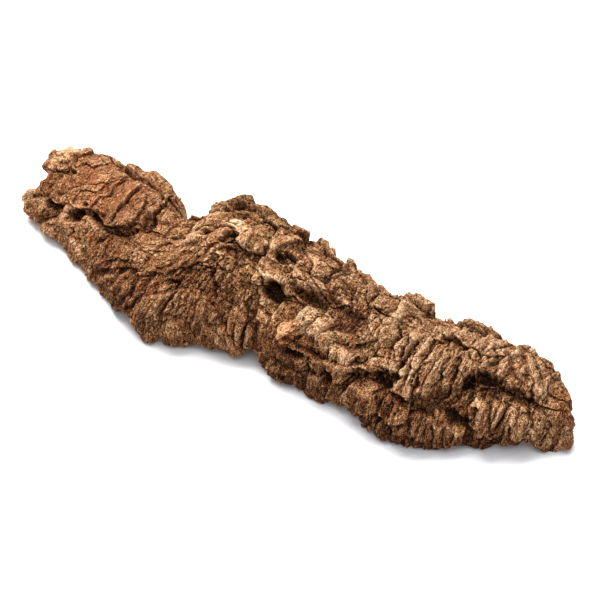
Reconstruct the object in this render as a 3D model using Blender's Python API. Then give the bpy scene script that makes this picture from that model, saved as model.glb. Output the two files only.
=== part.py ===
# Piece of virgin cork bark: one arched slab, rough outside, smoother hollow inside.
# The shape is worked out in millimetres. x runs along the bark and t is the distance
# round its outer face from the crest, minus to the front. Vertices are made in metres.
import math

import bmesh
import bpy
import numpy as np

MM = 0.001
SEED = 11

# Sections of the smooth arch, taken across the bark:
# x, front edge y, back edge y, crest y, crest height, front edge height, back edge height
SECTIONS = [
    (-172, -4, 43, 18, 23, 7, 14),
    (-160, -11, 48, 16, 25, 6, 13),
    (-140, -17, 47, 12, 26, 4, 12),
    (-118, -27, 48, 8, 29, 3, 12),
    (-100, -36, 45, 2, 31, 3, 11),
    (-84, -43, 36, -4, 32, 3, 9),
    (-72, -49, 26, -6, 34, 3, 7),
    (-60, -54, 34, -6, 39, 2, 4),
    (-45, -54, 42, 0, 46, 2, 2),
    (-25, -46, 45, 6, 48, 3, 2),
    (0, -42, 41, 0, 42, 3, 2),
    (30, -46, 34, -4, 39, 2, 2),
    (60, -46, 29, -6, 37, 2, 2),
    (90, -54, 28, -8, 36, 2, 3),
    (115, -44, 31, -4, 35, 2, 3),
    (140, -29, 25, 0, 32, 2, 3),
    (165, -14, 12, 2, 24, 2, 4),
]
ARCH_SQUARENESS = 2.3       # 2 is an ellipse, more is boxier
THICKNESS = 13.0            # at the crest
EDGE_THICKNESS = 9.0
THINNEST_HOLLOW = 0.35      # share of a section's reach that stays hollow where the bark narrows
EDGE_BULGE = 2.0            # how far the broken edge rounds out
WALL_LUMPS = 0.6            # and how unevenly, over what length
WALL_LUMP_LENGTH = 4.0
EDGE_WEAR = 2.4             # the lowest spots of the edge are worn flat by this much
EDGE_RAG = 1.6              # how ragged the broken edges are
EDGE_RAG_LENGTH = 9.0       # along the long edges
END_RAG_LENGTH = 7.0        # and across the ends
HALF_WIDTH = 40.0           # distance from crest to edge, roughly
EDGE_FADE = 0.10            # share of the way round over which the crust fades out at a long edge
END_FADE = 0.03             # and of the length, at an end
EDGE_CRUST = 0.6            # share of the crust's height that is left at the very edge
EDGE_PLACED = 0.5           # and of the placed features'
HIGHEST = 7.0               # the crust levels off this far above the arch
DEEPEST = 9.0               # pits and cracks level off here and stay clear of the hollow

# The hollow's own relief: height and length of its waves and of its grain
HOLLOW_WAVES = (0.9, 22.0)
HOLLOW_GRAIN = (0.35, 5.0)
HOLLOW_STRETCH = 0.4        # the grain is that much longer across the bark
HOLLOW_FADE = 0.2           # share of the length over which it fades to the narrow end

# Ends of the slab, as x against the share v of the way round (-1 front edge, 1 back edge)
LEFT_END = [
    (-1, -165), (-0.8, -171), (-0.7, -169), (-0.56, -163), (-0.3, -162), (-0.12, -164),
    (0.02, -171), (0.7, -173), (1, -167),
]
RIGHT_END = [(-1, 167), (-0.5, 165), (0, 161), (0.4, 151), (0.7, 141), (1, 127)]

# Blocks and knobs standing out of the crust: x, t, half length, half width, turn, height
KNOBS = [
    (-40, 30, 11, 9, 10, 7.5),
    (-56, 29, 6, 6, 0, 5.0),
    (8, 34, 9, 7, 0, 4.5),
    (66, 29, 10, 5, 0, 5.0),
    (105, 24, 13, 7, 0, 4.5),
    (-19, -4, 8, 9, 0, 5.0),
    (32, -22, 10, 9, 0, 4.5),
    (22, -33, 8, 6, 20, 3.0),
    (55, -34, 6, 10, 0, 4.0),
    (70, -45, 12, 9, 0, 3.0),
    (71, -20, 9, 8, 0, 2.5),
    (26, -58, 12, 8, 0, 3.5),
    (92, -22, 3.2, 15, 0, 3.2),
    (99, -21, 3.0, 15, 2, 2.8),
    (106, -18, 3.0, 12, 0, 2.4),
    (110, 8, 3.0, 9, 0, 2.4),
    (118, 4, 3.2, 10, 0, 2.6),
    (127, 5, 3.2, 10, 0, 2.4),
    (139, -1, 3.4, 9, 6, 2.2),
    (-150, -12, 7, 6, 0, 2.0),
    (-163, 14, 7, 9, 0, 2.5),
    (-96, -8, 6, 8, 0, 2.6),
    (128, -31, 8, 8, 0, 2.2),
    (146, -26, 7, 8, 0, 2.4),
    (98, -47, 9, 7, 0, 2.0),
    (-30, 52, 10, 8, 0, 2.5),
    (44, 40, 11, 9, 0, 2.2),
    (-115, 34, 12, 10, 0, 2.0),
]
# Holes and hollows: x, t, half length, half width, turn, depth
PITS = [
    (-128, -21, 5.0, 5.0, 20, 7.2),
    (-146, -21, 8.0, 2.4, 8, 4.4),
    (-151, 2, 5.5, 5.0, 0, 4.9),
    (-112, -16, 9.0, 5.0, -10, 3.4),
    (-85, 2, 4.5, 7.0, 0, 6.5),
    (-65, 16, 3.5, 4.0, 0, 6.5),
    (-29, -13, 9.0, 6.5, 0, 7.2),
    (-42, -12, 5.0, 3.2, 0, 4.4),
    (-4, -3, 14.0, 8.0, 8, 6.0),
    (4, -20, 8.0, 5.0, -20, 7.5),
    (22, -12, 13.0, 4.0, -8, 5.5),
    (43, -12, 14.0, 9.0, -10, 5.7),
    (50, -43, 4.0, 7.0, 0, 5.2),
    (80, -30, 8.0, 6.5, 0, 8.5),
    (84, -16, 1.6, 12.0, 0, 4.7),
    (124, -13, 7.0, 5.0, 0, 7.3),
    (119, -40, 8.0, 4.0, 0, 4.7),
    (30, -41, 8.0, 3.0, 20, 4.7),
    (-60, 45, 8.0, 5.0, 0, 5.2),
    (84, 15, 8.0, 9.0, 0, 3.9),
    (140, -16, 10.0, 4.0, 0, 3.9),
]
# Splits in the crust: depth, half width, then the points x, t that each runs through
CRACKS = [
    (2.4, 2.6, [(-131, -18), (-120, -17), (-108, -20), (-101, -19), (-92, -14), (-87, -7)]),
    (3.0, 1.8, [(-101, -18), (-103, -25), (-107, -32)]),
    (2.4, 1.6, [(-124, -30), (-127, -36)]),
    (2.8, 2.2, [(-168, -26), (-158, -22), (-153, -19)]),
    (3.0, 3.0, [(-103, -48), (-86, -35), (-66, -28)]),
    (3.0, 1.8, [(-50, -38), (-42, -43), (-41, -50), (-46, -61)]),
    (2.6, 1.8, [(-28, -28), (-24, -38), (-19, -47)]),
    (2.6, 1.8, [(4, -38), (3, -45), (6, -54)]),
    (3.0, 2.0, [(64, -38), (62, -46), (58, -56)]),
    (2.5, 2.0, [(28, 36), (28, 17), (23, 10)]),
    (3.6, 5.0, [(60, -34), (79, -34), (95, -40), (107, -33), (115, -22), (126, -17), (140, -16),
                (154, -12)]),
    (3.0, 2.4, [(-62, 5), (-50, 14), (-36, 16), (-24, 10), (-10, 12)]),
    (3.0, 2.6, [(-140, 30), (-118, 22), (-96, 26), (-80, 20)]),
    (3.0, 2.6, [(-20, 38), (10, 30), (40, 34), (70, 40)]),
    (2.8, 2.4, [(84, 12), (104, 20), (124, 22)]),
]
# Steps where a layer has broken away, higher on the left of the direction of travel:
# height, how far the high side slopes back, then the points x, t
LEDGES = [
    (3.6, 16, [(-140, -13), (-131, -16), (-120, -14), (-108, -17), (-100, -15), (-92, -10), (-88, 0)]),
    (2.2, 12, [(-104, 12), (-102, -4), (-104, -15)]),
    (1.8, 9, [(-93, 14), (-91, 4), (-92, -3)]),
    (2.0, 10, [(-155, 6), (-149, -4), (-140, -14)]),
    (4.2, 9, [(34, -3), (25, -4), (14, -6), (6, -9), (-4, -15), (-12, -14)]),
    (3.2, 12, [(36, 8), (18, 6), (2, 4), (-10, 3)]),
    (2.4, 12, [(78, 22), (72, 4), (74, -8)]),
    (2.6, 10, [(86, 26), (84, 12), (86, -2)]),
    (2.0, 14, [(-70, -60), (-66, -48), (-70, -34)]),
    (2.2, 12, [(48, 30), (46, 12), (52, -4)]),
    (3.2, 10, [(152, -6), (138, -12), (126, -12), (114, -18), (106, -29), (94, -37), (80, -28)]),
    (3.0, 9, [(78, -27), (62, -31), (44, -36), (28, -37), (14, -34)]),
]
KNOB_WALL = (0.55, 1.05)    # shares of a knob's size between which it falls away
PIT_WALL = (0.45, 1.05)     # and those between which a pit's wall stands
RIM_WOBBLE = 0.30           # how ragged their rims are
RIM_WOBBLE_LENGTH = 6.0
CRACK_WANDER = 1.2          # how far cracks and ledges stray from their line
CRACK_WANDER_LENGTH = 6.0
CRACK_FLOOR = 0.2           # share of a crack's width that is flat
LEDGE_FOOT_DEPTH = 0.35     # the groove at a ledge's foot, as a share of its height
LEDGE_FOOT_REACH = 3.0

# Bites out of the long edges: x, half length, depth
FRONT_BITES = [(-86, 6, 3), (-67, 12, 8), (-45, 4, 4), (4, 8, 8), (57, 10, 4), (122, 7, 3), (150, 4, 3)]
BACK_BITES = [(-132, 6, 4), (-96, 6, 4), (-66, 6, 5), (-2, 7, 6), (44, 6, 5), (84, 3, 7), (112, 6, 4)]

# Broken pieces of crust: size along the bark, size across it, height
PLATES = (30.0, 24.0, 4.4)
BLOCKS = (10.0, 18.0, 3.4)
PIECE_TILT = 1.5            # how far a piece tilts, for each millimetre of its height
PIECE_DOME = 0.25           # and how far its middle stands above its rim
# Rolls of the crust, which run across the bark: spacing, height, run before one swells or breaks
BROAD_ROLLS = (10.5, 5.0, 24.0)
ROLLS = (5.3, 4.6, 20.0)
SHELF_ROLLS = (4.2, 3.4, 14.0)
# Wander and frayed edge of the rolls, in spacings, and the lengths of both, in spacings
ROLL_WANDER = 0.5
ROLL_WANDER_LENGTH = 4.0
ROLL_FRAY = 0.12
ROLL_FRAY_LENGTH = 0.8
ROLL_SHIFT = 400            # keeps the swells of neighbouring rolls apart
ROLL_HEIGHT = 0.6           # mean height, as a share of the full one
ROLL_SWELL = 0.25           # and how far it steps up and down
ROLL_SWELL_STEP = 0.4
ROLL_FALL = 0.55            # how far a roll slopes down to its right
ROLL_LEVEL = 0.35           # keeps the rolls as high as the crust beside them
GAP_WIDTH = (0.06, 0.16)    # narrowest and widest gap, in spacings
GAP_DEPTH = 0.4
GAP_RUN = 1.6               # a gap opens and closes over this many of a roll's runs
# The outlines of the pieces and rolls are ragged: how far, over what length
RAG_ALONG = (2.6, 24.0)
RAG_ACROSS = (3.0, 22.0)
FINE_RAG_ALONG = (0.8, 5.0)
FINE_RAG_ACROSS = (1.3, 5.0)
# Broken layers: height of a step, steps for each unit of roughness, spread
LAYER_STEP = 1.2
LAYER_COUNT = 2.2
LAYER_SPREAD = 13.0
OVERHANG = 0.55             # crests lean to the front by this share of their height
LEAN = 0.45                 # and rolls lean to the left
PIT_UPRIGHT = 0.3           # pits lean this much less
# The crust's kind changes with the place. Each pair is the x, or the t, where a region begins and
# where it is full; the smooth plateau has its middle x and t and its reach along and across.
PLATEAU = (-126, 6, 42, 26)
FAN_DEPTH = (-20, -32)
FAN_LEFT = (-128, -105)
FAN_RIGHT = (0, -25)
LOWER_DEPTH = (-28, -38)
BROAD_LEFT = (12, 28)
NARROW_LEFT = (76, 88)
SHELF_LEFT = (45, 60)
BACK_SLOPE = (12, 28)
BACK_SMOOTHING = 0.25       # the crust is that much lower at the back
BACK_START = (10, 25)
BACK_LEVEL = 0.8            # and its mean level lies that far below the arch
CRUST_LEVEL = 0.6

GRID_LENGTH = 210           # quads along each face
GRID_WIDTH = 90             # and across it
WALL_ROWS = 4               # rows of quads round the broken edge
MOST_TRIANGLES = 11600
WELD = 0.02                 # corners nearer than this become one
BARK_BROWN = (0.23, 0.115, 0.058, 1)

LATTICE_SIZE = 4096
LATTICE = np.random.default_rng(SEED).random(LATTICE_SIZE)
SCATTER = (73856093, 19349663, 83492791)    # large primes that mix a lattice point's numbers


def lattice(i, j, k=0):
    """Fixed random value from 0 to 1 for each lattice point."""
    mixed = (i * SCATTER[0]) ^ (j * SCATTER[1]) ^ (k * SCATTER[2])
    return LATTICE[mixed % LATTICE_SIZE]


def noise(x, y, z, size):
    """Smooth noise from -1 to 1 with features of about the given size."""
    p = np.stack(np.broadcast_arrays(x, y, z)) / size
    low = np.floor(p).astype(np.int64)
    share = p - low
    share = share * share * (3 - 2 * share)
    total = 0
    for corner in np.ndindex(2, 2, 2):
        weight = 1
        for axis in range(3):
            weight = weight * (share[axis] if corner[axis] else 1 - share[axis])
        total = total + weight * lattice(low[0] + corner[0], low[1] + corner[1], low[2] + corner[2])
    return total * 2 - 1


def rough(x, y, z, size, octaves):
    """Noise summed over octaves, each half the size and half the height of the last."""
    return sum(noise(x + 31 * n, y, z, size / 2 ** n) / 2 ** n for n in range(octaves))


def ramp(value, low, high):
    share = np.clip((value - low) / (high - low), 0, 1)
    return share * share * (3 - 2 * share)


def cells(x, t, length, width, layer):
    """Jittered cells: distance and offset from the nearest centre, and its two random values."""
    u, v = x / length, t / width
    iu, iv = np.floor(u).astype(np.int64), np.floor(v).astype(np.int64)
    near = np.full(u.shape, 9.0)
    across, along, first, other = (np.zeros(u.shape) for n in range(4))
    for du in (-1, 0, 1):
        for dv in (-1, 0, 1):
            cu, cv = iu + du, iv + dv
            ou = u - (cu + 0.5 + 0.8 * (lattice(cu, cv, layer) - 0.5))
            ov = v - (cv + 0.5 + 0.8 * (lattice(cu, cv, layer + 1) - 0.5))
            distance = np.hypot(ou, ov)
            closer = distance < near
            along = np.where(closer, ou, along)
            across = np.where(closer, ov, across)
            first = np.where(closer, lattice(cu, cv, layer + 2), first)
            other = np.where(closer, lattice(cu, cv, layer + 3), other)
            near = np.minimum(near, distance)
    return near, along, across, first, other


def spot(x, t, place):
    """Distance from the middle of a feature of this x, t, half length, half width and turn: 1 at its rim."""
    centre_x, centre_t, half_length, half_width, turn = place
    c, s = math.cos(math.radians(turn)), math.sin(math.radians(turn))
    dx, dt = x - centre_x, t - centre_t
    a, b = np.abs((c * dx + s * dt) / half_length), np.abs((c * dt - s * dx) / half_width)
    return (a ** 3 + b ** 3) ** (1 / 3)


def line(x, t, points):
    """Distance from a line through points, share of the way along it, and the side: plus on its left."""
    best = np.full(x.shape, 1e9)
    share, side = np.zeros(x.shape), np.zeros(x.shape)
    pairs = list(zip(points, points[1:]))
    for n, ((x0, t0), (x1, t1)) in enumerate(pairs):
        length = math.hypot(x1 - x0, t1 - t0)
        ux, ut = (x1 - x0) / length, (t1 - t0) / length
        run = np.clip((x - x0) * ux + (t - t0) * ut, 0, length)
        distance = np.hypot(x - x0 - run * ux, t - t0 - run * ut)
        closer = distance < best
        best = np.where(closer, distance, best)
        share = np.where(closer, (n + run / length) / len(pairs), share)
        side = np.where(closer, np.sign(ux * (t - t0) - ut * (x - x0)), side)
    return best, share, side


def blob(x, t, centre_x, centre_t, reach_x, reach_t):
    return np.exp(-((x - centre_x) / reach_x) ** 2 - ((t - centre_t) / reach_t) ** 2)


def placed_relief(x, t):
    """Height of the knobs, pits, cracks and ledges."""
    height = np.zeros(x.shape)
    wobble = RIM_WOBBLE * rough(x, t, 0, RIM_WOBBLE_LENGTH, 4)
    for *place, rise in KNOBS:
        height += rise * (1 - ramp(spot(x, t, place) + wobble, *KNOB_WALL))
    for *place, depth in PITS:
        height -= depth * (1 - ramp(spot(x, t, place) + wobble, *PIT_WALL))
    wander_x = x + CRACK_WANDER * noise(x, t, 5, CRACK_WANDER_LENGTH)
    wander_t = t + CRACK_WANDER * noise(x, t, 9, CRACK_WANDER_LENGTH)
    for depth, half_width, points in CRACKS:
        distance, share, side = line(wander_x, wander_t, points)
        taper = 1 - (2 * share - 1) ** 4
        height -= depth * taper * (1 - ramp(distance, CRACK_FLOOR * half_width, half_width))
    for rise, slope, points in LEDGES:
        distance, share, side = line(wander_x, wander_t, points)
        taper = 1 - (2 * share - 1) ** 4
        foot = -LEDGE_FOOT_DEPTH * np.exp(-distance / LEDGE_FOOT_REACH)
        height += rise * taper * np.where(side > 0, np.exp(-distance / slope), foot)
    return height


def terraces(value, riser):
    """Flat treads at whole numbers, joined by risers that take the given share of a step."""
    step = np.floor(value)
    return step + ramp(value - step, 1 - riser, 1)


def laminae(x, t, size, layer):
    """Rolls across the bark, each with a steep left side, and deep gaps between them."""
    spacing, height, run = size
    coarse = ROLL_WANDER * noise(x, t, layer, ROLL_WANDER_LENGTH * spacing)
    fine = ROLL_FRAY * noise(x, t, layer + 3, ROLL_FRAY_LENGTH * spacing)
    place = x / spacing + coarse + fine
    number = np.floor(place).astype(np.int64)
    share = place - number
    own = lattice(number, number * 0 + 7, layer)
    swell = noise(t + ROLL_SHIFT * own, number * 0.37, layer, run)
    swell = ROLL_HEIGHT + ROLL_SWELL * terraces(swell / ROLL_SWELL_STEP, 0.25)
    narrow, wide = GAP_WIDTH
    gap_width = narrow + (wide - narrow) * lattice(number, number * 0 + 9, layer)
    gap = 1 - ramp(np.minimum(share, 1 - share), 0, gap_width)
    dome = ramp(share, 0, 2 * gap_width) * (1 - ROLL_FALL * ramp(share, 0.35, 1))
    parted = ramp(noise(x, t, layer + 8, GAP_RUN * run), -0.45, 0.15)
    return height * (dome * swell - GAP_DEPTH * gap * parted - ROLL_LEVEL)


def broken_pieces(x, t, size, layer):
    """Pieces of crust with steep sides, each at its own height and tilt."""
    length, width, height = size
    near, along, across, first, other = cells(x, t, length, width, layer)
    turn = lattice(np.rint(first * 999).astype(int), 5, layer)
    tilt = PIECE_TILT * ((other - 0.5) * along + (turn - 0.5) * across)
    return height * (first - 0.5 + tilt - PIECE_DOME * near * near)


def wander(x, t, layer, size, octaves):
    how_far, length = size
    return how_far * rough(x, t, layer, length, octaves)


def crust_relief(x, t):
    """Height of the bark's own plates, blocks, rolls and broken layers, and the rolls alone, which lean."""
    rag_x = x + wander(x, t, 40, RAG_ALONG, 3) + wander(x, t, 44, FINE_RAG_ALONG, 2)
    rag_t = t + wander(x, t, 70, RAG_ACROSS, 3) + wander(x, t, 74, FINE_RAG_ACROSS, 2)
    plateau = blob(x, t, *PLATEAU)
    fan = ramp(t, *FAN_DEPTH) * ramp(x, *FAN_LEFT) * ramp(x, *FAN_RIGHT)
    lower = ramp(t, *LOWER_DEPTH)
    broad = ramp(x, *BROAD_LEFT) * (1 - ramp(x, *NARROW_LEFT)) * (1 - lower)
    narrow = ramp(x, *NARROW_LEFT) * (1 - lower)
    shelf = ramp(x, *SHELF_LEFT) * lower

    height = (1 - 0.35 * plateau - 0.3 * fan) * broken_pieces(rag_x, rag_t, PLATES, 10)
    blocks = broken_pieces(rag_x, rag_t, BLOCKS, 30)
    height += (0.95 - 0.6 * plateau - 0.55 * fan - 0.45 * narrow - 0.3 * shelf) * blocks
    rolls = (0.15 + 0.85 * broad - 0.1 * plateau) * laminae(rag_x + 9, t, BROAD_ROLLS, 3)
    rolls += (0.10 + 0.9 * narrow + 0.25 * broad - 0.1 * plateau) * laminae(rag_x + 69, t, ROLLS, 23)
    rolls += (0.12 + 0.88 * shelf - 0.1 * plateau) * laminae(rag_x + 129, t, SHELF_ROLLS, 43)
    layers = LAYER_STEP * terraces(LAYER_COUNT * rough(x, t, 55, LAYER_SPREAD, 4), 0.15)
    height += rolls + layers * (0.9 - 0.6 * plateau)
    height *= 1 - BACK_SMOOTHING * ramp(t, *BACK_SLOPE)
    return height - CRUST_LEVEL - BACK_LEVEL * ramp(t, *BACK_START), rolls


def section_column(x, column):
    """A value of the sections at x, on a smooth curve through them."""
    table = np.array(SECTIONS, float)
    xs, values = table[:, 0], table[:, column]
    slopes = np.gradient(values, xs)
    i = np.clip(np.searchsorted(xs, x) - 1, 0, len(xs) - 2)
    span = xs[i + 1] - xs[i]
    s = np.clip((x - xs[i]) / span, 0, 1)
    return ((2 * s ** 3 - 3 * s ** 2 + 1) * values[i] + (s ** 3 - 2 * s ** 2 + s) * span * slopes[i]
            + (3 * s ** 2 - 2 * s ** 3) * values[i + 1] + (s ** 3 - s ** 2) * span * slopes[i + 1])


class Arch:
    """A smooth arched face, looked up by x and t: the outer one, or one inset from its edges and crest."""

    def __init__(self, inset=0.0, drop=0.0):
        self.xs = np.arange(-180.0, 176.0)
        self.ts = np.arange(-110.0, 111.0)
        self.place = np.zeros((len(self.xs), len(self.ts), 3))
        self.front = np.zeros(len(self.xs))
        self.back = np.zeros(len(self.xs))
        angle = np.linspace(-math.pi / 2, math.pi / 2, 161)
        power = 2 / ARCH_SQUARENESS
        for n, x in enumerate(self.xs):
            front_y, back_y, crest_y, crest_z, front_z, back_z = (
                float(section_column(np.array([x]), column)[0]) for column in range(1, 7))
            s, c = np.sin(angle), np.cos(angle)
            reach = np.where(s < 0, crest_y - front_y, back_y - crest_y)
            edge_z = np.where(s < 0, front_z, back_z)
            reach = np.maximum(reach - inset, THINNEST_HOLLOW * reach)
            rise = np.maximum(crest_z - edge_z - drop, THINNEST_HOLLOW * (crest_z - edge_z))
            y = crest_y + reach * np.sign(s) * np.abs(s) ** power
            z = edge_z + rise * np.abs(c) ** power
            t = np.concatenate([[0], np.cumsum(np.hypot(np.diff(y), np.diff(z)))])
            t -= t[len(t) // 2]
            self.front[n], self.back[n] = t[0], t[-1]
            below = np.maximum(t[0] - self.ts, 0) + np.maximum(self.ts - t[-1], 0)
            self.place[n, :, 0] = x
            self.place[n, :, 1] = np.interp(self.ts, t, y)
            self.place[n, :, 2] = np.interp(self.ts, t, z) - below
        along_x = np.gradient(self.place, axis=0)
        along_t = np.gradient(self.place, axis=1)
        self.normal = np.cross(along_x, along_t)
        self.normal /= np.linalg.norm(self.normal, axis=-1, keepdims=True)

    def read(self, table, x, t):
        fx = np.clip(x - self.xs[0], 0, len(self.xs) - 1.001)
        ft = np.clip(t - self.ts[0], 0, len(self.ts) - 1.001)
        i, j = fx.astype(int), ft.astype(int)
        fx, ft = (fx - i)[..., None], (ft - j)[..., None]
        low = table[i, j] * (1 - fx) + table[i + 1, j] * fx
        high = table[i, j + 1] * (1 - fx) + table[i + 1, j + 1] * fx
        return low * (1 - ft) + high * ft

    def reach(self, x, side):
        """Distance t of the face's own edge at x: side 0 is the front, side 1 the back."""
        return np.interp(x, self.xs, (self.front, self.back)[side])

    def broken_edge(self, x, side, bites):
        """The same, ragged and with the bites taken out."""
        cut = EDGE_RAG * (1 + rough(x, 0, 90 + 5 * side, EDGE_RAG_LENGTH, 3))
        for bite_x, half_length, depth in bites:
            cut = cut + depth * (1 - ramp(np.abs(x - bite_x), 0.3 * half_length, half_length))
        whole = self.reach(x, side)
        return whole - np.sign(whole) * cut


def end_x(v, outline, layer):
    """x of a broken end, ragged, against the share of the way round."""
    vs, xs = zip(*outline)
    return np.interp(v, vs, xs) + EDGE_RAG * rough(HALF_WIDTH * v, 0, layer, END_RAG_LENGTH, 3)


def bark_faces(columns, rows):
    """Points of the outer and the inner face as two grids, columns along x and rows round t."""
    arch = Arch()
    u, v = np.meshgrid(np.linspace(0, 1, columns + 1), np.linspace(-1, 1, rows + 1), indexing="ij")
    left, right = end_x(v, LEFT_END, 60), end_x(v, RIGHT_END, 80)
    x = left + (right - left) * u
    front = arch.broken_edge(x, 0, FRONT_BITES)
    back = arch.broken_edge(x, 1, BACK_BITES)
    t = np.where(v < 0, -v * front, v * back)

    place, normal = arch.read(arch.place, x, t), arch.read(arch.normal, x, t)
    normal /= np.linalg.norm(normal, axis=-1, keepdims=True)
    inside = ramp(1 - np.abs(v), 0, EDGE_FADE) * ramp(u, 0, END_FADE) * ramp(1 - u, 0, END_FADE)
    placed, (crust, rolls) = placed_relief(x, t), crust_relief(x, t)
    relief = placed * (EDGE_PLACED + (1 - EDGE_PLACED) * inside)
    relief += crust * (EDGE_CRUST + (1 - EDGE_CRUST) * inside)
    relief = np.where(relief < 0, -DEEPEST * np.tanh(-relief / DEEPEST), HIGHEST * np.tanh(relief / HIGHEST))
    outer = place + normal * relief[..., None]
    to_front = np.cross(np.array([1.0, 0, 0]), normal)
    overhang = OVERHANG * (relief - PIT_UPRIGHT * np.minimum(placed, 0)) * inside
    outer += to_front * overhang[..., None]
    outer[..., 0] -= LEAN * rolls * inside

    hollow = Arch(EDGE_THICKNESS, THICKNESS)
    t = np.where(v < 0, t * hollow.reach(x, 0) / arch.reach(x, 0), t * hollow.reach(x, 1) / arch.reach(x, 1))
    place, normal = hollow.read(hollow.place, x, t), hollow.read(hollow.normal, x, t)
    grain = wander(x, t, 150, HOLLOW_WAVES, 2) + wander(x, HOLLOW_STRETCH * t, 160, HOLLOW_GRAIN, 2)
    inner = place + normal * (grain * ramp(1 - u, 0, HOLLOW_FADE))[..., None]
    return outer, inner


def rim(grid):
    """Points of a grid's border in order, once round."""
    return np.concatenate([grid[:-1, 0], grid[-1, :-1], grid[:0:-1, -1], grid[0, :0:-1]])


def bark_mesh(columns, rows):
    """Closed mesh of the slab: outer face, broken edge all round, inner face."""
    outer, inner = bark_faces(columns, rows)
    outer_rim, inner_rim = rim(outer), rim(inner)
    outward = outer_rim - rim(np.pad(outer[2:-2, 2:-2], ((2, 2), (2, 2), (0, 0)), mode="edge"))
    outward /= np.linalg.norm(outward, axis=-1, keepdims=True)
    points = [outer.reshape(-1, 3), inner.reshape(-1, 3)]
    for row in range(1, WALL_ROWS):
        share = row / WALL_ROWS
        ring = outer_rim * (1 - share) + inner_rim * share
        lumps = 1 + WALL_LUMPS * rough(*ring.T, WALL_LUMP_LENGTH, 2)
        swell = EDGE_BULGE * math.sin(math.pi * share) * lumps
        points.append(ring + outward * swell[:, None])
    points = np.concatenate(points)

    numbers = np.arange((columns + 1) * (rows + 1)).reshape(columns + 1, rows + 1)
    corners = [numbers[:-1, :-1], numbers[1:, :-1], numbers[1:, 1:], numbers[:-1, 1:]]
    outer_quads = np.stack(corners, -1).reshape(-1, 4)
    inner_quads = outer_quads[:, ::-1] + numbers.size
    loops = [rim(numbers)]
    first = 2 * numbers.size
    for row in range(1, WALL_ROWS):
        loops.append(first + np.arange(len(loops[0])))
        first += len(loops[0])
    loops.append(rim(numbers) + numbers.size)
    quads = [outer_quads, inner_quads]
    for upper, lower in zip(loops, loops[1:]):
        quads.append(np.stack([upper, lower, np.roll(lower, -1), np.roll(upper, -1)], -1))
    return points, np.concatenate(quads)


def bark_material():
    material = bpy.data.materials.new("cork_bark")
    material.use_nodes = True
    shader = material.node_tree.nodes["Principled BSDF"]
    shader.inputs["Base Color"].default_value = BARK_BROWN
    shader.inputs["Roughness"].default_value = 0.9
    shader.inputs["Metallic"].default_value = 0.0
    return material


def shaped_slab():
    """Object of the whole slab, with its faces thinned out where the surface is plain."""
    points, quads = bark_mesh(GRID_LENGTH, GRID_WIDTH)
    mesh = bpy.data.meshes.new("bark")
    mesh.from_pydata((points * MM).tolist(), [], quads.tolist())
    bark = bpy.data.objects.new("bark", mesh)
    bpy.context.scene.collection.objects.link(bark)
    thin = bark.modifiers.new("Fewer faces", "DECIMATE")
    thin.ratio = MOST_TRIANGLES / (2 * len(quads))
    bpy.context.view_layer.objects.active = bark
    bpy.ops.object.modifier_apply(modifier=thin.name)
    return bark


def wear_flat(bark):
    """Cuts the lowest spots of the edge to one plane and stands the slab on it, centred."""
    build = bmesh.new()
    build.from_mesh(bark.data)
    lowest = min(corner.co.z for corner in build.verts) + EDGE_WEAR * MM
    everything = build.verts[:] + build.edges[:] + build.faces[:]
    cut = bmesh.ops.bisect_plane(
        build, geom=everything, plane_co=(0, 0, lowest), plane_no=(0, 0, 1), clear_inner=True)
    rims = [edge for edge in cut["geom_cut"] if isinstance(edge, bmesh.types.BMEdge)]
    bmesh.ops.triangle_fill(build, edges=rims, use_beauty=True)
    bmesh.ops.remove_doubles(build, verts=build.verts, dist=WELD * MM)
    bmesh.ops.triangulate(build, faces=build.faces)
    bmesh.ops.recalc_face_normals(build, faces=build.faces)
    xs, ys = ([corner.co[axis] for corner in build.verts] for axis in (0, 1))
    middle = (-(min(xs) + max(xs)) / 2, -(min(ys) + max(ys)) / 2, -lowest)
    bmesh.ops.translate(build, verts=build.verts, vec=middle)
    build.to_mesh(bark.data)
    build.free()


def main():
    for old in list(bpy.data.objects):
        bpy.data.objects.remove(old, do_unlink=True)
    bark = shaped_slab()
    wear_flat(bark)
    bark.data.materials.append(bark_material())


main()
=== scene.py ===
import math

import bpy
import numpy as np
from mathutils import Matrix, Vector


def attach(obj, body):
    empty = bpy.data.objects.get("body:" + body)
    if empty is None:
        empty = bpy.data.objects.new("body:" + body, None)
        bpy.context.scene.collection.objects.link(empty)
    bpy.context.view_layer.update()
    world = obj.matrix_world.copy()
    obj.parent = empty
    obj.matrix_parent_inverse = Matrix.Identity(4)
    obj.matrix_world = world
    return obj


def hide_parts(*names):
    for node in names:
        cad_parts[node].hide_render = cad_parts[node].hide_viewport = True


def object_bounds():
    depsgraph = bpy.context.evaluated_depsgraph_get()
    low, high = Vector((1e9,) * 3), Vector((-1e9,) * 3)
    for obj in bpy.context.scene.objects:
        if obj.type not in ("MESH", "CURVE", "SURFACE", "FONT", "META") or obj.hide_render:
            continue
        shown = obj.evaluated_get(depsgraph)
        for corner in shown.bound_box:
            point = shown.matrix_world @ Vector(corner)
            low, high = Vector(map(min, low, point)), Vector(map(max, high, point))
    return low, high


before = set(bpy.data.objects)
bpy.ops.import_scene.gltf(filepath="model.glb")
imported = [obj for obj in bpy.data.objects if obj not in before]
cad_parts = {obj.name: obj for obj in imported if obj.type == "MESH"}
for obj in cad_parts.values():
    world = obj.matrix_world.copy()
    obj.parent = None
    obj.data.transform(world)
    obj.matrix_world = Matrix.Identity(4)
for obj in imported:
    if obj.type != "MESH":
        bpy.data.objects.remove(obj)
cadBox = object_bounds()
print("frame loaded, box", cadBox)

mm = 0.001

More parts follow.
